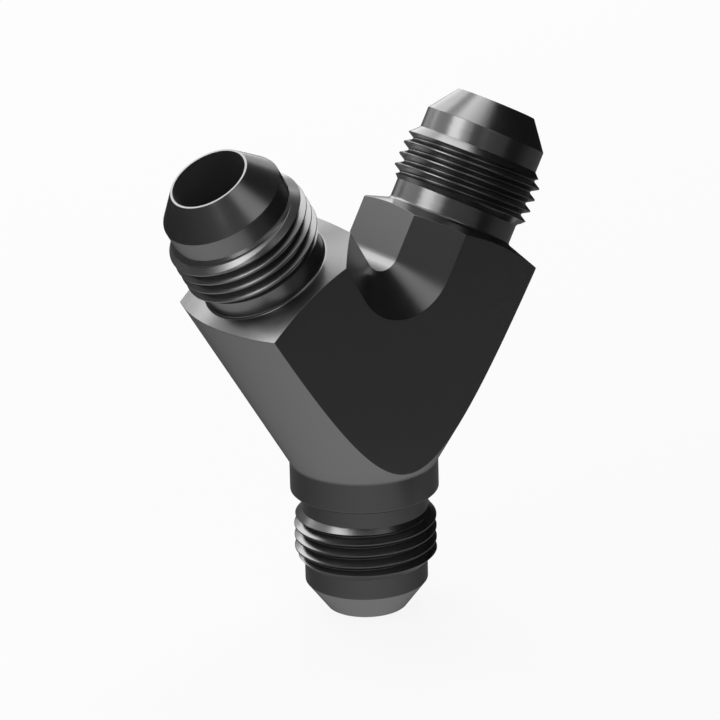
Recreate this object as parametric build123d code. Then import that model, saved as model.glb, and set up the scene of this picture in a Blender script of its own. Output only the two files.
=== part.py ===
"""Tubing Y connector: one machined block with three male 37 degree flare ports.

Frame: +Z up along the bottom port, origin at the centre of the bottom port's nose rim,
the two branches lean out in the XZ plane. Millimetres and degrees.
"""

from build123d import *
from math import cos, hypot, radians, sin, tan
import os

# Thread of all three ports, 3/4-16 UNF. Its land is plain here, at the crest diameter,
# and the nose and the neck lie just below the thread's root.
thread_diameter = 19.05
thread_depth = 0.975
nose_step = 0.3
neck_step = 0.08

# Port, measured along its axis from the rim of the nose
port_length = 16.7
bore_diameter = 10.2
rim_width = 0.32
flare_half_angle = 37.0
nose_land = 2.77
lead_in_angle = 45.0
run_out_angle = 45.0
neck_length = 2.65
neck_fillet = 0.4

# Block
block_thickness = 20.65
branch_angle = 30.0
branch_length = 30.45
outer_wall = 10.25
inner_wall = 10.85
collar_diameter = 19.85
collar_length = 4.3
collar_edge_break = 0.2
collar_blend = 1.0
end_face_slope = 18.0

# Notch between the branches
crotch_radius = 2.6
notch_chamfer_depth = 5.0
notch_chamfer_width = 5.25

# How far a cutter reaches past the surface it cuts
overcut = 1.0

# Sizes that follow from those above
thread_radius = thread_diameter / 2
nose_radius = thread_radius - thread_depth - nose_step
neck_radius = thread_radius - thread_depth - neck_step
bore_radius = bore_diameter / 2
rim_radius = bore_radius + rim_width
collar_radius = collar_diameter / 2
half_thickness = block_thickness / 2
lean = radians(branch_angle)

seat_end = (nose_radius - rim_radius) / tan(radians(flare_half_angle))
nose_end = seat_end + nose_land
crest_start = nose_end + (thread_radius - nose_radius) / tan(radians(lead_in_angle))
neck_start = port_length - neck_length
crest_end = neck_start - (thread_radius - neck_radius) / tan(radians(run_out_angle))

# The block's flank is a cone about +Z, and its slope is the branches' own lean
collar_top = port_length + collar_length
junction_height = collar_top + (outer_wall / cos(lean) - collar_radius) / tan(lean)
crotch_height = junction_height + (inner_wall + crotch_radius) / sin(lean)
inner_corner_height = branch_length * cos(lean) + inner_wall * sin(lean)
blank_top = junction_height + inner_corner_height + overcut
blank_radius = collar_radius + (blank_top - collar_top) * tan(lean)
nose_reach = branch_length + port_length


def turned(outline):
    """A solid turned about Z from its half section, given as radius and height."""
    return revolve(Plane.XZ * make_face(outline), Axis.Z)


def port(face_slope):
    """A port along +Z, nose rim at the origin, blended into a shoulder of this slope."""
    slope = radians(face_slope)
    blend_radius = neck_radius + neck_fillet
    blend_height = port_length + neck_fillet * (tan(slope) - 1 / cos(slope))
    blend = CenterArc(
        (blend_radius, blend_height),
        neck_fillet,
        start_angle=180,
        arc_size=face_slope - 90,
    )
    foot = blend @ 1
    outside = Polyline(
        (0, 0),
        (rim_radius, 0),
        (nose_radius, seat_end),
        (nose_radius, nose_end),
        (thread_radius, crest_start),
        (thread_radius, crest_end),
        (neck_radius, neck_start),
        (neck_radius, blend_height),
    )
    inside = Polyline(
        (foot.X, foot.Y), (foot.X, foot.Y + overcut), (0, foot.Y + overcut), (0, 0)
    )
    return turned(outside + blend + inside)


def port_places():
    """The frame of each port: its +Z points from the nose rim into the block."""
    places = [Location((0, 0, 0))]
    for side in (-1, 1):
        x = side * nose_reach * sin(lean)
        z = junction_height + nose_reach * cos(lean)
        places.append(Location((x, 0, z)) * Rot(0, 180 + side * branch_angle, 0))
    return places


def blank():
    """The collar blended into the conical flank, milled flat at the front and the back."""
    tangent = collar_blend * tan(lean / 2)
    blend = CenterArc(
        (collar_radius + collar_blend, collar_top - tangent),
        collar_blend,
        start_angle=180,
        arc_size=-branch_angle,
    )
    cone_foot = blend @ 1
    below = Polyline(
        (0, port_length),
        (collar_radius - collar_edge_break, port_length),
        (collar_radius, port_length + collar_edge_break),
        (collar_radius, collar_top - tangent),
    )
    above = Polyline(
        (cone_foot.X, cone_foot.Y), (blank_radius, blank_top), (0, blank_top), (0, port_length)
    )
    slab = Box(2 * blank_radius + overcut, block_thickness, 2 * blank_top + overcut)
    return turned(below + blend + above) & slab


def notch_section(widening, depth):
    """The U between the branches at a depth in Y, its walls set back by a widening."""
    radius = crotch_radius + widening
    side_x = radius * cos(lean)
    side_z = -radius * sin(lean)
    top_z = blank_top + overcut - crotch_height
    top_x = side_x + (top_z - side_z) * tan(lean)
    outline = Polyline((side_x, side_z), (top_x, top_z), (-top_x, top_z), (-side_x, side_z))
    crotch = ThreePointArc((-side_x, side_z), (0, -radius), (side_x, side_z))
    place = Plane(origin=(0, depth, crotch_height), x_dir=(1, 0, 0), z_dir=(0, -1, 0))
    return place * make_face(outline + crotch)


def notch():
    """The notch, with a chamfer down both walls that turns conical round the crotch."""
    through = notch_section(0, 0)
    cut = extrude(through, amount=half_thickness + overcut, both=True)
    ridge = half_thickness - notch_chamfer_depth
    outer = half_thickness + overcut
    widening = (outer - ridge) * notch_chamfer_width / notch_chamfer_depth
    for side in (-1, 1):
        sections = [notch_section(0, side * ridge), notch_section(widening, side * outer)]
        cut += loft(sections, ruled=True)
    return cut


def end_cutter():
    """What is turned off past a branch's end face, in the frame of its port."""
    reach = hypot(half_thickness, max(inner_wall, outer_wall)) + overcut
    slope = tan(radians(end_face_slope))
    outline = Polyline(
        (0, 0),
        (reach, 0),
        (reach, port_length + (reach - neck_radius) * slope),
        (0, port_length - neck_radius * slope),
        close=True,
    )
    return turned(outline)


def passage(depth):
    """A drilled bore from a port's rim to the point where the three bores meet."""
    length = depth + overcut
    bore = Cylinder(bore_radius, length, align=(Align.CENTER, Align.CENTER, Align.MIN))
    return Pos(0, 0, -overcut) * bore


def connector():
    """The whole connector as one solid."""
    bottom, left, right = port_places()
    shape = blank() - notch()
    for place in (left, right):
        shape -= place * end_cutter()
    shape += bottom * port(0)
    for place in (left, right):
        shape += place * port(end_face_slope)
    shape -= bottom * passage(junction_height)
    for place in (left, right):
        shape -= place * passage(nose_reach)
    return shape


os.makedirs("parts", exist_ok=True)
export_step(connector(), "parts/y_body.step")
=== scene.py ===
# %% [markdown]
# A tubing Y connector, skinned face by face
#
# The real part is milled and turned from one bar of aluminium and anodised black. The CAD
# model already has its true solid, with a plain cylinder where each thread is cut. This
# lesson works out one closed skin over the same sizes, with the three helical threads in
# it, then gives it a satin black finish and sets up a small studio.
#
# The frame is loaded first, because it says where everything is.

import math

import bmesh
import bpy
import numpy as np
from mathutils import Matrix, Vector


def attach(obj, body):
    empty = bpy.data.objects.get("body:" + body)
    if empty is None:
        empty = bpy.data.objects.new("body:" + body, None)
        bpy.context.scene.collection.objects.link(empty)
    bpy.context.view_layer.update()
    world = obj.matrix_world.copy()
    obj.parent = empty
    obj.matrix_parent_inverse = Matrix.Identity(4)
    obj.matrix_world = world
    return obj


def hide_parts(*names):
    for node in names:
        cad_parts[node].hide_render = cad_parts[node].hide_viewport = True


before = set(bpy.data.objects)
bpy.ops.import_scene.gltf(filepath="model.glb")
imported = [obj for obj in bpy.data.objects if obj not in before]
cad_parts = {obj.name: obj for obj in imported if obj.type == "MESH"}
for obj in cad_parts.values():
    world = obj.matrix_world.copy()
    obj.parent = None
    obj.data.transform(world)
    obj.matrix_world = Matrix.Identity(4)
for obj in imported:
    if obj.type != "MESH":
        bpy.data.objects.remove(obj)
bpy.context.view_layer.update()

# %% [markdown]
# ## The sizes
#
# All sizes are in millimetres and turned into metres once, when the mesh is made. They
# are the sizes of the CAD part, with the nose and its rim 0.01 mm smaller in radius, so
# that the skin stays inside the CAD model however its circles are meshed. The thread is
# 3/4-16 UNF: its pitch and its 60 degree flanks come from the standard, and the place
# where each crest starts was read off the photograph, because each port was cut with its
# own start.

# %% Sizes of the part
THREAD_R, ROOT_R, NOSE_R, NECK_R = 9.525, 8.55, 8.24, 8.47
BORE_R, RIM_R = 5.1, 5.41
PORT_LENGTH = 16.7
FLARE_ANGLE, NOSE_LAND, NECK_LENGTH = math.radians(37), 2.77, 2.65
SEAT_END = (NOSE_R - RIM_R) / math.tan(FLARE_ANGLE)
NOSE_END = SEAT_END + NOSE_LAND
CREST_START = NOSE_END + THREAD_R - NOSE_R
NECK_START = PORT_LENGTH - NECK_LENGTH
CREST_END = NECK_START - (THREAD_R - NECK_R)
NECK_FILLET = 0.4

HALF_THICK = 10.325
LEAN = math.radians(30)
BRANCH, OUTER_WALL, INNER_WALL = 30.45, 10.25, 10.85
COLLAR_R, COLLAR_TOP, COLLAR_BREAK, COLLAR_BLEND = 9.925, 21.0, 0.2, 1.0
END_SLOPE = math.tan(math.radians(18))
CROTCH_R, CHAMFER_DEPTH, CHAMFER_WIDTH = 2.6, 5.0, 5.25
RIDGE_Y = HALF_THICK - CHAMFER_DEPTH

JUNCTION = COLLAR_TOP + (OUTER_WALL / math.cos(LEAN) - COLLAR_R) / math.tan(LEAN)
CROTCH_Z = JUNCTION + (INNER_WALL + CROTCH_R) / math.sin(LEAN)
REACH = BRANCH + PORT_LENGTH
print("bores meet at", round(JUNCTION, 3), "crotch centre at", round(CROTCH_Z, 3))

# %% [markdown]
# ## How the skin is put together
#
# A boolean could cut such a part out of blocks, but it leaves long slivers that shade
# badly. Here each face of the part is a patch of its own: a grid of points given by two
# parameters. Patches that meet share the same points along their edge, so merging equal
# points at the end closes the skin. The block is mirrored front to back and left to
# right, so only its front right quarter is worked out.

# %% Counts that patches share along their edges
N_FLANK, N_FLAT, N_CHAMFER, N_WALL = 40, 20, 11, 9
N_HALF = N_FLANK + N_FLAT + N_CHAMFER + N_WALL
N_RING = 2 * N_HALF
N_ARC, N_STRAIGHT = 18, 14
N_LONG = N_ARC + N_STRAIGHT
patches = []
print("points round a port:", N_RING, "and cells along a block edge:", N_LONG)


def add_patch(name, points, mirrors=((1, 1),)):
    """Keep a grid of points, shape (rows, columns, 3), and its mirror images.

    A mirror image is the same grid with x, y or both negated. The tool path keeps two
    lengths in millimetres for each point: the way along the columns, which is the way
    the tool cut, and the way across them, both summed from the steps of the grid.
    """
    along = np.linalg.norm(np.diff(points, axis=1), axis=-1).mean(0)
    across = np.linalg.norm(np.diff(points, axis=0), axis=-1).mean(1)
    along, across = (np.concatenate([[0], np.cumsum(step)]) for step in (along, across))
    tool_path = np.stack(np.broadcast_arrays(along[None, :], across[:, None]), -1)
    for sx, sy in mirrors:
        patches.append((name, points * np.array([sx, sy, 1.0]), tool_path))


QUARTERS = ((1, 1), (-1, 1), (1, -1), (-1, -1))


def lerp(a, b, share):
    """The point that lies the given share of the way from a to b."""
    return a + (b - a) * share


# %% [markdown]
# ## The branch's own coordinates
#
# Each branch is easiest to describe along its own axis: p is the distance from the point
# where the bores meet, and n is the distance from the axis in the plane of the Y, positive
# towards the outside. The end of a branch is a shallow cone about that axis.

# %% Branch coordinates
SIN, COS = math.sin(LEAN), math.cos(LEAN)


def from_branch(p, n, y):
    """Right branch coordinates to x, y, z: the junction plus p along the axis, n across it."""
    return np.stack([p * SIN + n * COS, y + 0 * p, JUNCTION + p * COS - n * SIN], -1)


def end_station(rho):
    """Where the end cone lies: the branch length, less the slope times the way past the neck."""
    return BRANCH - (rho - NECK_R) * END_SLOPE


def flank_radius(z):
    """Radius of the conical flank about the vertical axis: it grows by tan(lean) per unit."""
    return COLLAR_R + (z - COLLAR_TOP) * math.tan(LEAN)


# %% [markdown]
# ## The conical flank
#
# The outside of the block is one cone about the vertical axis, cut off flat at the front
# and back. Each line of the grid keeps its share q of the angle that is left between the
# plane of the Y and the flat, so the line q = 1 is the curved edge of the flat itself. Its
# upper end is where it meets the branch's end cone, found for all lines at once by halving
# an interval. The rows crowd towards the foot, where the edge of the flat curves most.

# %% Flank patch
FLAT_FOOT = COLLAR_TOP + (HALF_THICK - COLLAR_R) / math.tan(LEAN)
HALVINGS = 50
FOOT_CROWDING = 1.6


def flank_points(q, z):
    """A point at radius r(z) and angle q times the largest angle, which is asin(flat / r)."""
    r = flank_radius(z)
    phi = q * np.arcsin(np.minimum(1.0, HALF_THICK / r))
    return np.stack([r * np.cos(phi), -r * np.sin(phi), z + 0 * phi], -1)


def flank_top(q):
    """Height at which each flank line meets the end cone, by halving the interval."""
    low = np.full_like(q, FLAT_FOOT)
    high = np.full_like(q, JUNCTION + REACH)
    for _ in range(HALVINGS):
        middle = (low + high) / 2
        x, y, z = np.moveaxis(flank_points(q, middle), -1, 0)
        p = x * SIN + (z - JUNCTION) * COS
        n = x * COS - (z - JUNCTION) * SIN
        inside = p < end_station(np.hypot(n, y))
        low, high = np.where(inside, middle, low), np.where(inside, high, middle)
    return low


q = np.linspace(0, 1, N_FLANK + 1)
long_share = np.linspace(0, 1, N_LONG + 1)
flank_z = lerp(FLAT_FOOT, flank_top(q)[None, :], (long_share**FOOT_CROWDING)[:, None])
flank = flank_points(q[None, :], flank_z)
add_patch("flank", flank, QUARTERS)
print("flank reaches x", round(flank[..., 0].max(), 2), "z", round(flank[..., 2].max(), 2))

# %% [markdown]
# ## The notch and its chamfer
#
# The notch is a U: two walls beside the branches and a round floor between them. Its
# chamfer is the same U with a larger radius the nearer it comes to the flat, so it is flat
# beside the branches and conical round the floor. Both are one function of the place
# along the U and of how far the wall is set back.

# %% Notch patches
arc_angle = np.linspace(-math.pi / 2, -LEAN, N_ARC + 1)
straight_share = np.linspace(0, 1, N_STRAIGHT + 1)[1:]
TANGENT_P = (CROTCH_Z - JUNCTION) * COS


def notch_points(set_back, y):
    """The U at depth y: an arc about the crotch centre, then a line up to the end cone."""
    set_back, y = np.broadcast_arrays(set_back, y)
    r = CROTCH_R + set_back
    a = arc_angle[:, None]
    arc = np.stack([r * np.cos(a), -y + 0 * a, CROTCH_Z + r * np.sin(a)], -1)
    across = INNER_WALL - set_back
    top = end_station(np.hypot(across, y))
    p = lerp(TANGENT_P, top[None, :], straight_share[:, None])
    wall = from_branch(p, -across[None, :] + 0 * p, -y[None, :] + 0 * p)
    return np.concatenate([arc, wall])


chamfer_share = np.linspace(0, 1, N_CHAMFER + 1)
chamfer = notch_points(CHAMFER_WIDTH * chamfer_share, RIDGE_Y + CHAMFER_DEPTH * chamfer_share)
wall = notch_points(0.0, np.linspace(0, RIDGE_Y, N_WALL + 1))
add_patch("chamfer", chamfer, QUARTERS)
add_patch("wall", wall, QUARTERS)

# %% [markdown]
# ## The flat
#
# The flat has four curved sides: the flank's edge, the chamfer's edge, the arc of the end
# cone and the middle line. A Coons patch fills it: the blend of one pair of sides, plus
# the blend of the other pair, less the blend of the four corners.

# %% Flat patch


def coons(first, last, start, end):
    """Fill four curves: first and last run along rows, start and end run along columns."""
    s = np.linspace(0, 1, len(first))[:, None, None]
    t = np.linspace(0, 1, len(start))[None, :, None]
    rows = lerp(first[:, None], last[:, None], t)
    columns = lerp(start[None, :], end[None, :], s)
    corners = lerp(lerp(start[0], start[-1], t), lerp(end[0], end[-1], t), s)
    return rows + columns - corners


flat_edge, notch_edge = flank[:, -1], chamfer[:, -1]
middle_line = np.linspace(flat_edge[0], notch_edge[0], N_FLAT + 1)


def across_axis(point):
    """The branch coordinate n of a point."""
    return point[0] * COS - (point[2] - JUNCTION) * SIN


arc_n = np.linspace(across_axis(flat_edge[-1]), across_axis(notch_edge[-1]), N_FLAT + 1)
end_arc = from_branch(end_station(np.hypot(arc_n, HALF_THICK)), arc_n, -HALF_THICK)
add_patch("flat", coons(flat_edge, notch_edge, middle_line, end_arc), QUARTERS)

# %% [markdown]
# ## The end face of a branch
#
# The outline of the end face runs along the flank, the flat, the chamfer and the notch
# wall. Every point of it is joined to the foot of the neck by a straight line towards the
# axis, so the neck's ring of points takes its angles from the outline.

# %% End face patch
outline = np.concatenate([flank[-1], end_arc[1:], chamfer[-1][::-1][1:], wall[-1][::-1][1:]])
outline_n = outline[:, 0] * COS - (outline[:, 2] - JUNCTION) * SIN
outline_rho = np.hypot(outline_n, outline[:, 1])
half_angles = np.arctan2(np.abs(outline[:, 1]), outline_n)
branch_angles = np.concatenate([half_angles, 2 * math.pi - half_angles[-2::-1]])
even_angles = np.linspace(0, 2 * math.pi, N_RING + 1)

END_ANGLE = math.atan(END_SLOPE)
FOOT_RHO = NECK_R + NECK_FILLET * (1 - math.sin(END_ANGLE))
END_ROWS = 5
rho = lerp(FOOT_RHO, outline_rho[None, :], np.linspace(0, 1, END_ROWS)[:, None])
face = from_branch(end_station(rho), rho * np.cos(half_angles), -rho * np.sin(half_angles))
add_patch("end", face, QUARTERS)
print("ring of", N_RING, "points, end face corners at", [
    round(math.degrees(half_angles[i])) for i in (N_FLANK, N_FLANK + N_FLAT, N_HALF - N_WALL)
])

# %% [markdown]
# ## The collar
#
# The collar is turned, so its patch is a half section carried round the vertical axis. It
# has a small broken edge below and a blend above, where it runs into the flank.

# %% Collar patch


def turn(section, angles, origin, inward, side):
    """Carry a section of (radius, station) pairs round an axis.

    The point is the origin, plus the station along the inward axis, plus the radius times
    the cosine of the angle towards the side and the sine of it square to both.
    """
    radius, station = np.moveaxis(np.asarray(section, float), -1, 0)
    square = np.cross(inward, side)
    around = np.cos(angles)[..., None] * side + np.sin(angles)[..., None] * square
    if radius.ndim == 1:
        radius, station = radius[:, None], station[:, None]
    return origin + station[..., None] * inward + radius[..., None] * around


def arc_section(centre, radius, start, end, count):
    """Points of an arc in the section, from one angle to another, in degrees."""
    a = np.radians(np.linspace(start, end, count))
    return np.stack([centre[0] + radius * np.cos(a), centre[1] + radius * np.sin(a)], -1)


X, Z = np.eye(3)[[0, 2]]
ZERO = np.zeros(3)
tangent = COLLAR_BLEND * math.tan(LEAN / 2)
blend = arc_section((COLLAR_R + COLLAR_BLEND, COLLAR_TOP - tangent), COLLAR_BLEND, 180, 150, 7)
cone_z = np.linspace(blend[-1, 1], FLAT_FOOT, 4)[1:]
collar = np.concatenate([
    [(NECK_R + NECK_FILLET, PORT_LENGTH)],
    [(COLLAR_R - COLLAR_BREAK, PORT_LENGTH)],
    [(COLLAR_R, PORT_LENGTH + COLLAR_BREAK)],
    [(COLLAR_R, lerp(PORT_LENGTH, COLLAR_TOP, 0.5))],
    blend,
    np.stack([flank_radius(cone_z), cone_z], -1),
])
add_patch("collar", turn(collar, even_angles, ZERO, Z, X))
print("collar section:", len(collar), "points")

# %% [markdown]
# ## The threads
#
# A thread is a V groove that winds round the blank. Its rows of points have to follow the
# crest, or the crest looks like a staircase, so the rows are wound too: one turn on, each
# row meets the row one pitch further along. Along a row the station changes, by the pitch
# for each turn.
#
# Where the blank is chamfered, the flank of the groove ends lower. It is a straight line
# and so is the chamfer, so the share of the flank that is left follows from one division.
# Below the groove's root nothing of it is left, and the rows lie on the plain nose and
# neck. There the winding rows end in a wedge that narrows to nothing over one turn, and
# plain rings carry on.

# %% Thread rows
PITCH = 25.4 / 16
FLANK_TAN = math.tan(math.radians(30))
CREST_HALF = PITCH / 16
ROOT_HALF = PITCH / 2 - CREST_HALF - (THREAD_R - ROOT_R) * FLANK_TAN
EDGE_ROUND = 0.035
ROWS_PER_TURN = 12

# The root's second row lies at a share of its half width. The flank's first row lies a
# small share up the flank, and never more than a part of what the blank leaves of it.
# Both are raised a little, so that the root is round. The crest's edge is lowered a little
# where enough of the flank is left, and the crest's next row lies just inside it.
ROOT_SPREAD, FOOT_SHARE, FOOT_LIMIT = 0.55, 0.06, 0.3
CORNER_RAISE, FOOT_RAISE = 0.012, 0.02
EDGE_LOWER, EDGE_INSET, EDGE_FROM = 0.35 * EDGE_ROUND, 1.2 * EDGE_ROUND, 0.05

# A station near the thread's middle: a crest before it may meet the lead-in's corner, one
# past it the run-out's.
THREAD_MIDDLE = 10.6
print("pitch", PITCH, "mm, half the root's width", round(ROOT_HALF, 3), "mm")


def blank_radius(t):
    """Radius of the blank at station t: the least of the nose chamfer, crest and run-out."""
    chamfer_line = np.maximum(NOSE_R, NOSE_R + t - NOSE_END)
    run_out_line = np.maximum(NECK_R, NECK_R + NECK_START - t)
    return np.minimum(np.minimum(chamfer_line, run_out_line), THREAD_R)


def flank_left(foot, way):
    """Share of a groove's flank that the blank leaves, from 0 at its foot to 1 at the crest.

    The flank rises by the depth while it goes along by way; each straight piece of the
    blank cuts it where both have one radius.
    """
    depth = THREAD_R - ROOT_R
    nose_cut = (NOSE_R + foot - NOSE_END - ROOT_R) / (depth - way)
    neck_cut = (NECK_R + NECK_START - foot - ROOT_R) / (depth + way)
    return np.clip(np.minimum(nose_cut, neck_cut), 0, 1)


def thread_turn(groove):
    """Stations and radii of the twelve rows of one turn, from a groove's middle to the next.

    groove is the station of the groove's middle, an array over the ring. Rows: middle of
    the root, its corner, the foot of the flank, just under the crest, the crest's edge,
    just inside it, the middle of the crest, and the same back down to the next groove.
    """
    depth = THREAD_R - ROOT_R
    way = depth * FLANK_TAN
    up_foot, down_foot = groove + ROOT_HALF, groove + PITCH - ROOT_HALF
    up, down = flank_left(up_foot, way), flank_left(down_foot, -way)
    up_top, down_top = up_foot + up * way, down_foot - down * way
    ease = 2 * EDGE_ROUND / way
    up_low = np.minimum(FOOT_SHARE, FOOT_LIMIT * up)
    down_low = np.minimum(FOOT_SHARE, FOOT_LIMIT * down)
    up_under, down_under = np.maximum(up - ease, up / 2), np.maximum(down - ease, down / 2)
    inset = np.minimum(EDGE_INSET, (down_top - up_top) / 4)
    corner = np.where(up_top < THREAD_MIDDLE, CREST_START, CREST_END)
    inside = (corner > up_top + inset) & (corner < down_top - inset)
    crest_middle = np.where(inside, corner, (up_top + down_top) / 2)
    stations = [
        groove,
        groove + ROOT_SPREAD * ROOT_HALF,
        up_foot + up_low * way,
        up_foot + up_under * way,
        up_top,
        up_top + inset,
        crest_middle,
        down_top - inset,
        down_top,
        down_foot - down_under * way,
        down_foot - down_low * way,
        groove + PITCH - ROOT_SPREAD * ROOT_HALF,
    ]
    radii = [
        ROOT_R + 0 * groove,
        ROOT_R + CORNER_RAISE + 0 * groove,
        ROOT_R + FOOT_RAISE + up_low * depth,
        ROOT_R + up_under * depth,
        ROOT_R + up * depth - EDGE_LOWER * (up > EDGE_FROM),
        THREAD_R + 0 * groove,
        THREAD_R + 0 * groove,
        THREAD_R + 0 * groove,
        ROOT_R + down * depth - EDGE_LOWER * (down > EDGE_FROM),
        ROOT_R + down_under * depth,
        ROOT_R + FOOT_RAISE + down_low * depth,
        ROOT_R + CORNER_RAISE + 0 * groove,
    ]
    stations = np.stack(stations)
    return stations, np.minimum(np.stack(radii), blank_radius(stations))


def snap(stations, radii, corner):
    """Slide the row nearest to a corner of the blank onto it, for each point of the ring."""
    nearest = np.abs(stations - corner).argmin(0)
    columns = np.arange(stations.shape[1])
    stations[nearest, columns] = corner
    radii[nearest, columns] = blank_radius(np.array(corner))


def thread_section(angles, crest_station, crest_angle):
    """The winding rows of one port, with a wedge at each end: (radius, station) per point.

    A row's station is its own start plus the pitch times the angle over a full turn.
    """
    rise = PITCH * angles / (2 * math.pi)
    root_start = crest_station - PITCH * crest_angle / (2 * math.pi) - PITCH / 2
    clear_of_nose = NOSE_END + ROOT_R - NOSE_R - PITCH
    root_start -= PITCH * math.ceil((root_start - clear_of_nose) / PITCH)
    turns = math.ceil((NECK_START - root_start) / PITCH)
    rows = [thread_turn(root_start + k * PITCH + rise) for k in range(turns + 1)]
    stations = np.concatenate([r[0] for r in rows])
    radii = np.concatenate([r[1] for r in rows])
    last = int(np.argmax(stations[:, 0] >= NECK_START)) + 1
    stations, radii = stations[:last], radii[:last]
    share = angles / (2 * math.pi)
    first_ring, last_ring = stations[0, 0], stations[-1, -1]
    opening = lerp(first_ring, stations[: ROWS_PER_TURN + 1, 0][:, None], share[None, :])
    closing = lerp(stations[-ROWS_PER_TURN - 1 :, -1][:, None], last_ring, share[None, :])
    stations = np.concatenate([opening[:-1], stations, closing[1:]])
    radii = np.concatenate([blank_radius(opening[:-1]), radii, blank_radius(closing[1:])])
    for corner in (NOSE_END, NECK_START):
        snap(stations, radii, corner)
    return np.stack([radii, stations], -1), first_ring, last_ring


# %% [markdown]
# ## The ports and the passages
#
# Each port is a turned section in three stretches: rings over the rim, the seat and the
# nose, the winding thread, and rings over the neck and its fillet. The passage starts at
# the rim and ends on the plane that halves the angle to the next passage, where the three
# drillings meet. A crest is given by a station that it passes and the angle where it does.

# %% Ports and passages


def port(name, origin, inward, side, angles, slope, crest_station, crest_angle):
    """Add the outside of one port, from its rim to the foot of its neck fillet."""
    thread, first_ring, last_ring = thread_section(angles, crest_station, crest_angle)
    rim = np.linspace((BORE_R, 0), (RIM_R, 0), 3)
    seat = np.linspace((RIM_R, 0), (NOSE_R, SEAT_END), 6)
    land = np.linspace((NOSE_R, SEAT_END), (NOSE_R, first_ring), 3)
    centre_station = PORT_LENGTH + NECK_FILLET * (math.tan(slope) - 1 / math.cos(slope))
    centre = NECK_R + NECK_FILLET, centre_station
    fillet = arc_section(centre, NECK_FILLET, 180, 90 + math.degrees(slope), 6)
    neck = np.linspace((NECK_R, last_ring), fillet[0], 2)
    place = (angles, origin, inward, side)
    add_patch("rim", turn(rim, *place))
    add_patch("seat", turn(seat, *place))
    add_patch("land", turn(land, *place))
    add_patch("thread", turn(thread, *place))
    add_patch("neck", turn(np.concatenate([neck[:-1], fillet]), *place))
    print(name, "thread rows:", len(thread))


def passage(origin, inward, side, angles, length, to_outer, to_inner):
    """Add a bore: it ends short of the junction by its own height over the halving plane."""
    share = np.linspace(0, 1, 7)[:, None]
    turned = lerp(angles[None, :], even_angles[None, :], share)
    across = BORE_R * np.cos(even_angles)
    short = np.where(across > 0, across * to_outer, -across * to_inner)
    station = share * (length - short)[None, :]
    section = np.stack([BORE_R + 0 * station, station], -1)
    add_patch("bore", turn(section, turned, origin, inward, side))


HALF_TAN, NOTCH_TAN = math.tan(LEAN / 2), 1 / math.tan(LEAN)
BOTTOM_CREST = 8.979, math.radians(-127.1)
BRANCH_CRESTS = (1, 8.792, math.radians(132.1)), (-1, 9.342, math.radians(-67.8))
port("bottom", ZERO, Z, X, even_angles, 0.0, *BOTTOM_CREST)
passage(ZERO, Z, X, even_angles, JUNCTION, HALF_TAN, HALF_TAN)
for sign, crest_station, crest_angle in BRANCH_CRESTS:
    inward = np.array([-sign * SIN, 0, -COS])
    outward_side = np.array([sign * COS, 0, -SIN])
    tip = np.array([0, 0, JUNCTION]) - inward * REACH
    place = (tip, inward, outward_side, branch_angles)
    port("branch", *place, END_ANGLE, crest_station, crest_angle)
    passage(*place, REACH, HALF_TAN, NOTCH_TAN)

# %% [markdown]
# ## Joining the patches
#
# Every grid becomes quads, or triangles on the thread, where the diagonal has to follow
# the snapped corners. Equal points are merged and the normals are turned outwards. An
# edge is sharp where two different faces of the part meet at more than 12 degrees, and
# where the collar turns a corner. Sharp edges get a weight, so that a narrow bevel breaks
# them as a deburring tool does; only the ridge inside the notch is left as it was milled.

# %% Skin mesh


def grid_faces(rows, columns, start, split):
    """Corner numbers of the cells of a grid, as quads, or as triangles on one diagonal."""
    number = start + np.arange(rows * columns).reshape(rows, columns)
    a, b = number[:-1, :-1].ravel(), number[:-1, 1:].ravel()
    c, d = number[1:, 1:].ravel(), number[1:, :-1].ravel()
    if split:
        return np.concatenate([np.stack([a, b, d], -1), np.stack([b, c, d], -1)])
    return np.stack([a, b, c, d], -1)


TURNED = {"rim", "seat", "land", "thread", "neck", "collar", "bore"}
MILLIMETRE = 0.001
SAME_POINT, SLIVER = 1e-6, 5e-7
SHARP_ANGLE = math.radians(12)
kinds = sorted({kind for kind, _, _ in patches})
faces, face_kind, start = [], [], 0
for kind, grid, _ in patches:
    cells = grid_faces(*grid.shape[:2], start, kind == "thread").tolist()
    faces += cells
    face_kind += [kinds.index(kind)] * len(cells)
    start += grid.shape[0] * grid.shape[1]

mesh = bpy.data.meshes.new("y_body_skin")
points = MILLIMETRE * np.concatenate([grid.reshape(-1, 3) for _, grid, _ in patches])
mesh.from_pydata(points, [], faces)
path = np.concatenate([t.reshape(-1, 2) for _, _, t in patches])
path_layer = mesh.uv_layers.new(name="tool_path")
path_layer.uv.foreach_set("vector", path[np.concatenate([np.ravel(f) for f in faces])].ravel())
mesh.attributes.new("kind", "INT", "FACE").data.foreach_set("value", face_kind)
turned = [float(kinds[k] in TURNED) for k in face_kind]
mesh.attributes.new("turned", "FLOAT", "FACE").data.foreach_set("value", turned)
drilled = [float(kinds[k] == "bore") for k in face_kind]
mesh.attributes.new("drilled", "FLOAT", "FACE").data.foreach_set("value", drilled)

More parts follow.
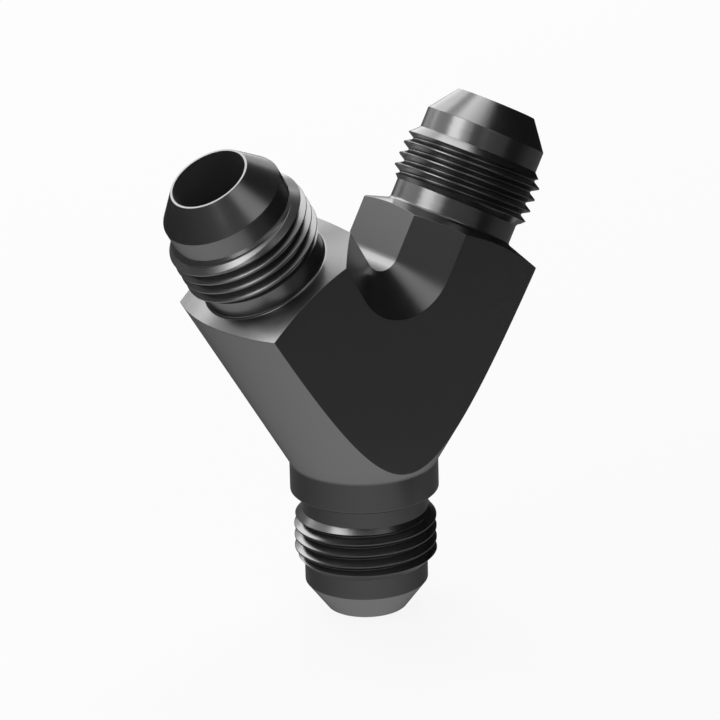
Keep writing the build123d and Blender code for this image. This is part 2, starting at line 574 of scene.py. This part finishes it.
edit = bmesh.new()
edit.from_mesh(mesh)
bmesh.ops.remove_doubles(edit, verts=edit.verts, dist=SAME_POINT)
bmesh.ops.dissolve_degenerate(edit, edges=edit.edges, dist=SLIVER)
bmesh.ops.recalc_face_normals(edit, faces=edit.faces)
kind_layer = edit.faces.layers.int["kind"]
weight_layer = edit.edges.layers.float.new("bevel_weight_edge")
own_corners = {kinds.index("collar")}
ridge = {kinds.index("chamfer"), kinds.index("wall")}
flaps = [face for face in edit.faces if any(len(edge.link_faces) == 1 for edge in face.edges)]
bmesh.ops.delete(edit, geom=flaps, context="FACES")
print("slivers that hung on one edge and were taken off:", len(flaps))
for edge in edit.edges:
    if len(edge.link_faces) == 2 and edge.calc_face_angle(0) > SHARP_ANGLE:
        pair = {face[kind_layer] for face in edge.link_faces}
        if (len(pair) == 2 and pair != ridge) or pair <= own_corners:
            edge[weight_layer] = 1.0
open_edges = sum(len(edge.link_faces) != 2 for edge in edit.edges)
print("skin volume in mm3:", round(edit.calc_volume(signed=True) * 1e9))
edit.to_mesh(mesh)
edit.free()
skin = bpy.data.objects.new("y_body_skin", mesh)
bpy.context.scene.collection.objects.link(skin)
print("skin:", len(mesh.vertices), "points,", len(mesh.polygons), "faces")
print("open edges:", open_edges)

# %% [markdown]
# ## Broken edges
#
# A deburred edge on black anodising shows as a thin line, so it matters more than its
# 0.12 mm suggests. The bevel follows the weights and is applied, because the normals come
# after it: a reflection on a satin black face shows every degree by which a normal strays.
# Blender's own smoothing gives a thin bevel and a wide face the same say at the points
# they share. Here the say grows with the square of the area, so each wide face reflects
# as the plane, cone or cylinder that it is, and the narrow ones turn from one to the next.

# %% Bevel
EDGE_BREAK = 0.12 * MILLIMETRE
bevel = skin.modifiers.new("edge_break", "BEVEL")
bevel.limit_method = "WEIGHT"
bevel.width = EDGE_BREAK
bevel.segments = 3
bevel.use_clamp_overlap = True
bevelled = skin.evaluated_get(bpy.context.evaluated_depsgraph_get())
skin.data = bpy.data.meshes.new_from_object(bevelled)
skin.modifiers.clear()
mesh = skin.data
mesh.name = "y_body_skin"
print("bevelled skin:", len(mesh.vertices), "points,", len(mesh.polygons), "faces")

# %% Normals


def read(collection, field, kind, width=1):
    """One field of a whole collection as an array."""
    values = np.zeros(len(collection) * width, kind)
    collection.foreach_get(field, values)
    return values.reshape(-1, width) if width > 1 else values


def corner_normals(mesh, limit):
    """The normal of every face corner.

    It is the sum of the normals of the faces round the corner's point that turn less than
    the limit from the corner's own face, each times its area squared, made unit. Corners
    are sorted by point, and each is compared with the one so many places further along.
    """
    face = np.repeat(np.arange(len(mesh.polygons)), read(mesh.polygons, "loop_total", np.int32))
    corner_point = read(mesh.loops, "vertex_index", np.int32)
    order = np.argsort(corner_point, kind="stable")
    point, face = corner_point[order], face[order]
    own = read(mesh.polygons, "normal", np.float32, 3).astype(float)[face]
    area = read(mesh.polygons, "area", np.float32).astype(float)[face, None]
    share = own * (SQUARE_MM * area) ** 2
    total = share.copy()
    for shift in range(1, int(np.bincount(point).max())):
        near = point[shift:] == point[:-shift]
        near &= (own[shift:] * own[:-shift]).sum(1) > math.cos(limit)
        total[:-shift][near] += share[shift:][near]
        total[shift:][near] += share[:-shift][near]
    total /= np.maximum(np.linalg.norm(total, axis=1, keepdims=True), NEVER_ZERO)
    result = np.zeros_like(total)
    result[order] = total
    return result


SQUARE_MM, NEVER_ZERO = 1e6, 1e-30
SAME_FACE_ANGLE = math.radians(40)
mesh.polygons.foreach_set("use_smooth", [True] * len(mesh.polygons))
normals = corner_normals(mesh, SAME_FACE_ANGLE)
mesh.normals_split_custom_set(normals.tolist())
print("corner normals:", len(normals))
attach(skin, "root")
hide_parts("y_body")

# %% [markdown]
# ## The finish
#
# Black anodising is a dyed oxide layer on etched aluminium. It takes in most of the light
# and gives the rest back as a satin gloss, about a seventh at a straight look and more at a
# glancing one, which an index of refraction of 2.2 gives by itself. The etch leaves a fine
# grain, and under it the lines of the turning tool can still be felt, so both are small
# bumps: the lines follow the tool path, the grain the object's own space. A drill leaves a
# rougher wall than a turning tool, so the bores are duller.

# %% Anodised material
finish = bpy.data.materials.new("black_anodised")
finish.use_nodes = True
tree = finish.node_tree
shader = tree.nodes["Principled BSDF"]
shader.inputs["Base Color"].default_value = (0.010, 0.010, 0.0104, 1)
shader.inputs["IOR"].default_value = 2.2


def node(kind, **settings):
    """Add a shader node and set its fields, or its inputs where the name is an input's."""
    made = tree.nodes.new(kind)
    for name, value in settings.items():
        if hasattr(made, name):
            setattr(made, name, value)
        else:
            made.inputs[name.replace("_", " ")].default_value = value
    return made


def link(source, target):
    """Join an output socket to an input socket."""
    tree.links.new(source, target)


place = node("ShaderNodeTexCoord")
grain = node("ShaderNodeTexNoise", Scale=9000.0, Detail=3.0, Roughness=0.6)
link(place.outputs["Object"], grain.inputs["Vector"])
cloud = node("ShaderNodeTexNoise", Scale=420.0, Detail=2.0, Roughness=0.5)
link(place.outputs["Object"], cloud.inputs["Vector"])
along_path = node("ShaderNodeUVMap", uv_map="tool_path")
stretch = node("ShaderNodeMapping", Scale=(0.05, 9.0, 1.0))
link(along_path.outputs["UV"], stretch.inputs["Vector"])
lines = node("ShaderNodeTexNoise", Scale=1.0, Detail=3.0, Roughness=0.55)
link(stretch.outputs["Vector"], lines.inputs["Vector"])
is_turned = node("ShaderNodeAttribute", attribute_name="turned")
line_height = node("ShaderNodeMath", operation="MULTIPLY")
link(lines.outputs["Fac"], line_height.inputs[0])
link(is_turned.outputs["Fac"], line_height.inputs[1])

DRILLED_ROUGHER = 0.35
satin_roughness = node("ShaderNodeMapRange", To_Min=0.22, To_Max=0.28)
link(cloud.outputs["Fac"], satin_roughness.inputs["Value"])
is_drilled = node("ShaderNodeAttribute", attribute_name="drilled")
roughness = node("ShaderNodeMath", operation="MULTIPLY_ADD")
roughness.inputs[1].default_value = DRILLED_ROUGHER
link(is_drilled.outputs["Fac"], roughness.inputs[0])
link(satin_roughness.outputs["Result"], roughness.inputs[2])
link(roughness.outputs["Value"], shader.inputs["Roughness"])
tool_bump = node("ShaderNodeBump", Strength=0.3, Distance=0.000006)
link(line_height.outputs["Value"], tool_bump.inputs["Height"])
grain_bump = node("ShaderNodeBump", Strength=0.15, Distance=0.000006)
link(grain.outputs["Fac"], grain_bump.inputs["Height"])
link(tool_bump.outputs["Normal"], grain_bump.inputs["Normal"])
link(grain_bump.outputs["Normal"], shader.inputs["Normal"])
mesh.materials.append(finish)
print("finish nodes:", len(tree.nodes))

# %% [markdown]
# ## The studio
#
# A black part shows mostly what is around it, so the surroundings were worked out from
# the photograph: each face's brightness was read against the direction that it reflects.
# They are a white table, softboxes behind and over the part, two small ones near its left
# side, a weak panel high up at the front, and darkness elsewhere.
#
# The table is matt white paper and comes first. To the camera it is white. In reflections it
# glows as white where the look is steep, and the glow falls off towards a glancing one. This is
# a painted reflection: it stands in for a satin table that mirrors the dark surroundings there.
# The normal that sets this falloff is a fixed direction leaned a little towards the light, so
# the painted glow is brighter on the lit side.

# %% Table


def stage_mesh(name, points, faces, material):
    """Add a mesh that is part of the studio and not of the object."""
    made = bpy.data.meshes.new(name)
    made.from_pydata([tuple(p) for p in points], [], faces)
    made.materials.append(material)
    placed = bpy.data.objects.new(name, made)
    bpy.context.scene.collection.objects.link(placed)
    return placed


def matt(name, grey):
    """A matt material of one grey."""
    made = bpy.data.materials.new(name)
    made.use_nodes = True
    inputs = made.node_tree.nodes["Principled BSDF"].inputs
    inputs["Base Color"].default_value = (grey, grey, grey, 1)
    inputs["Roughness"].default_value = 1.0
    inputs["Specular IOR Level"].default_value = 0.0
    return made


def seen_directly(nodes):
    """A socket that is 1 for camera, glossy and transmission rays, else 0."""
    light_path = nodes.nodes.new("ShaderNodeLightPath")
    total = light_path.outputs["Is Camera Ray"]
    for ray in ("Is Glossy Ray", "Is Transmission Ray"):
        add = nodes.nodes.new("ShaderNodeMath")
        add.operation, add.use_clamp = "ADD", True
        nodes.links.new(total, add.inputs[0])
        nodes.links.new(light_path.outputs[ray], add.inputs[1])
        total = add.outputs["Value"]
    return total


paper = matt("paper", 0.88)
paper_nodes = paper.node_tree


def paper_node(kind, inputs, **settings):
    """Add a node to the paper, with its settings, and its inputs as numbers or sockets."""
    made = paper_nodes.nodes.new(kind)
    for name, value in settings.items():
        setattr(made, name, value)
    for name, value in inputs.items():
        if isinstance(value, bpy.types.NodeSocket):
            paper_nodes.links.new(value, made.inputs[name])
        else:
            made.inputs[name].default_value = value
    return made


# Painted reflection: the glow that reflections see is brightest for rays about this fixed
# direction, which leans towards the light, and not the table's own normal.
GLOW_LEAN_TO_LIGHT = (0.10, 0.17, 0.98)
OWN_GLOW = 0.9
lean = paper_node("ShaderNodeVectorMath", {0: GLOW_LEAN_TO_LIGHT}, operation="NORMALIZE")
glance = paper_node("ShaderNodeLayerWeight", {"Blend": 0.5, "Normal": lean.outputs["Vector"]})
# Painted falloff of the table's glow in reflections, from 1 at a steep look to 0.09 at a
# glancing one.
painted_reflection_falloff = paper_node("ShaderNodeMapRange", {
    "Value": glance.outputs["Facing"],
    "From Min": 0.0, "From Max": 0.70, "To Min": 1.0, "To Max": 0.09,
})
light_path = paper_node("ShaderNodeLightPath", {})
strength = paper_node("ShaderNodeMix", {
    "Factor": light_path.outputs["Is Camera Ray"], "A": painted_reflection_falloff.outputs["Result"], "B": 1.0,
})
glow = paper_node("ShaderNodeEmission", {"Strength": strength.outputs["Result"]})
direct_share = paper_node(
    "ShaderNodeMath", {0: seen_directly(paper_nodes), 1: OWN_GLOW}, operation="MULTIPLY"
)
mix = paper_node("ShaderNodeMixShader", {
    "Fac": direct_share.outputs["Value"],
    1: paper_nodes.nodes["Principled BSDF"].outputs["BSDF"],
    2: glow.outputs["Emission"],
})
paper_end = paper_nodes.nodes["Material Output"].inputs["Surface"]
paper_nodes.links.new(mix.outputs["Shader"], paper_end)
TABLE_HALF = 1.2
corners = [(x * TABLE_HALF, y * TABLE_HALF, 0) for x, y in ((-1, -1), (1, -1), (1, 1), (-1, 1))]
stage_mesh("floor", corners, [(0, 1, 2, 3)], paper)
print("table side:", 2 * TABLE_HALF, "m")

# %% [markdown]
# ## The lamps
#
# Every lamp is a flat area light that faces the middle of the part. The three softboxes
# stand well back from it. The three small ones are near, and each lights only a few faces.
# They are placed in metres.

# %% Lamps
MIDDLE = (0.0, 0.0, 0.04)


def softbox(name, place, width, height, brightness):
    """A flat area light at a place in metres that faces the middle of the part.

    Its power is its brightness times pi times its area, the power that a surface of that
    brightness gives off.
    """
    data = bpy.data.lights.new(name, "AREA")
    data.shape, data.size, data.size_y = "RECTANGLE", width, height
    data.energy = brightness * math.pi * width * height
    placed = bpy.data.objects.new(name, data)
    placed.location = place
    toward = Vector(place) - Vector(MIDDLE)
    placed.rotation_euler = toward.to_track_quat("Z", "Y").to_euler()
    bpy.context.scene.collection.objects.link(placed)


def afar(azimuth, elevation, distance=0.6):
    """The place seen from the middle of the part at an azimuth and elevation in degrees."""
    a, e = math.radians(azimuth), math.radians(elevation)
    toward = np.array([math.cos(e) * math.cos(a), math.cos(e) * math.sin(a), math.sin(e)])
    return tuple(np.array(MIDDLE) + distance * toward)


softbox("back_softbox", afar(96, 33), 0.36, 0.34, 3.0)
softbox("side_softbox", afar(60, 20), 0.28, 0.46, 1.4)
softbox("top_softbox", afar(42, 60), 0.28, 0.42, 3.1)
softbox("near_softbox", (-0.077, 0.009, 0.125), 0.052, 0.046, 4.6)
softbox("left_softbox", (-0.123, -0.046, 0.128), 0.052, 0.042, 2.3)
softbox("front_panel", (-0.012, -0.099, 0.135), 0.084, 0.050, 1.0)
print("lamps:", len(bpy.data.lights))

# %% [markdown]
# ## The cards
#
# Felt on curved cards keeps light out of the reflections, as black flags do round a
# glossy product: black to the camera's right, grey to the front and left, and a dark
# ground outside the picture. A card's upper edge is given by the elevation that it
# reaches, seen from the middle of the part, at some azimuths. The ground starts where the
# white table ends, which is nearer the part at the front right. Only reflections see the
# cards: they cast no shadow, and the camera looks through them.

# %% Cards
CARD_FOOT, CARD_RADIUS, GREY_RADIUS, GROUND_RADIUS = 0.015, 0.150, 0.158, 0.16
GROUND_HEIGHT = 0.0005
card_azimuth = np.linspace(-180, 180, 73)
card_angles = np.radians(card_azimuth)


def around(values):
    """Values at every card azimuth, from pairs of an azimuth in degrees and a value."""
    return np.interp(card_azimuth, *np.array(values, float).T)


black_reach = around([
    (-180, 0), (-76, 0), (-68, 68), (-40, 70), (-20, 66), (10, 62), (22, 50), (36, 5),
    (50, -6), (180, 0),
])
grey_reach = around([
    (-180, 30), (-165, 34), (-150, 60), (-110, 72), (-66, 70), (-60, 0), (30, 0), (60, -6),
    (85, -2), (92, 6), (98, 15), (106, 20), (132, 20), (140, 26), (150, 33), (180, 30),
])
table_edge = around([
    (-180, 0.13), (-130, 0.13), (-110, 0.10), (-90, 0.08), (-75, 0.055), (-58, 0.046),
    (-40, 0.05), (30, 0.055), (60, 0.13), (180, 0.13),
])


def card_mesh(name, profile, material):
    """A card that stands round the part: for each (radius, height) pair a ring of points."""
    rings = np.stack([
        np.stack(np.broadcast_arrays(r * np.cos(card_angles), r * np.sin(card_angles), z), -1)
        for r, z in profile
    ])
    cells = grid_faces(*rings.shape[:2], 0, False).tolist()
    made = stage_mesh(name, rings.reshape(-1, 3), cells, material)
    for ray in ("camera", "diffuse", "transmission", "shadow"):
        setattr(made, "visible_" + ray, False)


for name, reach, radius, felt in (
    ("black_card", black_reach, CARD_RADIUS, matt("black_felt", 0.03)),
    ("grey_card", grey_reach, GREY_RADIUS, matt("grey_felt", 0.25)),
):
    card_top = MIDDLE[2] + radius * np.tan(np.radians(reach))
    card_mesh(name, [(radius, CARD_FOOT), (radius, card_top)], felt)
    print(name, "reaches up to", round(float(card_top.max()), 3), "m")
ground_profile = [(table_edge, GROUND_HEIGHT), (GROUND_RADIUS, CARD_FOOT)]
card_mesh("dark_ground", ground_profile, matt("dark_felt", 0.22))

# %% [markdown]
# ## The world
#
# The room is plain white. Its strength is 1 where it is seen directly or in a reflection,
# so the background is white. As a light it is much weaker, so the lamps do the work.

# %% World
FILL = 0.15
world = bpy.data.worlds.new("studio")
bpy.context.scene.world = world
world.use_nodes = True
sky = world.node_tree
fill = sky.nodes.new("ShaderNodeMapRange")
fill.inputs["To Min"].default_value, fill.inputs["To Max"].default_value = FILL, 1.0
sky.links.new(seen_directly(sky), fill.inputs["Value"])
sky.links.new(fill.outputs["Result"], sky.nodes["Background"].inputs["Strength"])
sky.nodes["Background"].inputs["Color"].default_value = (1, 1, 1, 1)
bpy.context.scene.view_settings.view_transform = "Standard"
print("world lights the part with a strength of", FILL)

# %% [markdown]
# ## The camera
#
# The camera's place, its slight roll and its long lens were fitted to the photograph: the
# edges of the flats, the rims and the thread crests of the model fall on those of the
# picture to about a pixel. Right and up are the picture's own directions in the part's
# frame, and the third, back to the camera, is square to both.

# %% Camera
camera_data = bpy.data.cameras.new("camera")
SENSOR = 36.0
FOCAL_PIXELS, PICTURE_PIXELS = 4637.2, 720
camera_data.sensor_width = SENSOR
camera_data.lens = FOCAL_PIXELS / PICTURE_PIXELS * SENSOR
camera_data.clip_start = 0.01
camera = bpy.data.objects.new("camera", camera_data)
bpy.context.scene.collection.objects.link(camera)
right = np.array([0.79182, -0.61028, -0.02419])
up = np.array([0.23267, 0.26479, 0.93581])
camera_place = (-0.34593, -0.4571, 0.25004)
placing = np.eye(4)
placing[:3, 0], placing[:3, 1], placing[:3, 2] = right, up, np.cross(right, up)
placing[:3, 3] = camera_place
camera.matrix_world = Matrix(placing.tolist())
bpy.context.scene.camera = camera
print("lens:", round(camera_data.lens, 1), "mm")
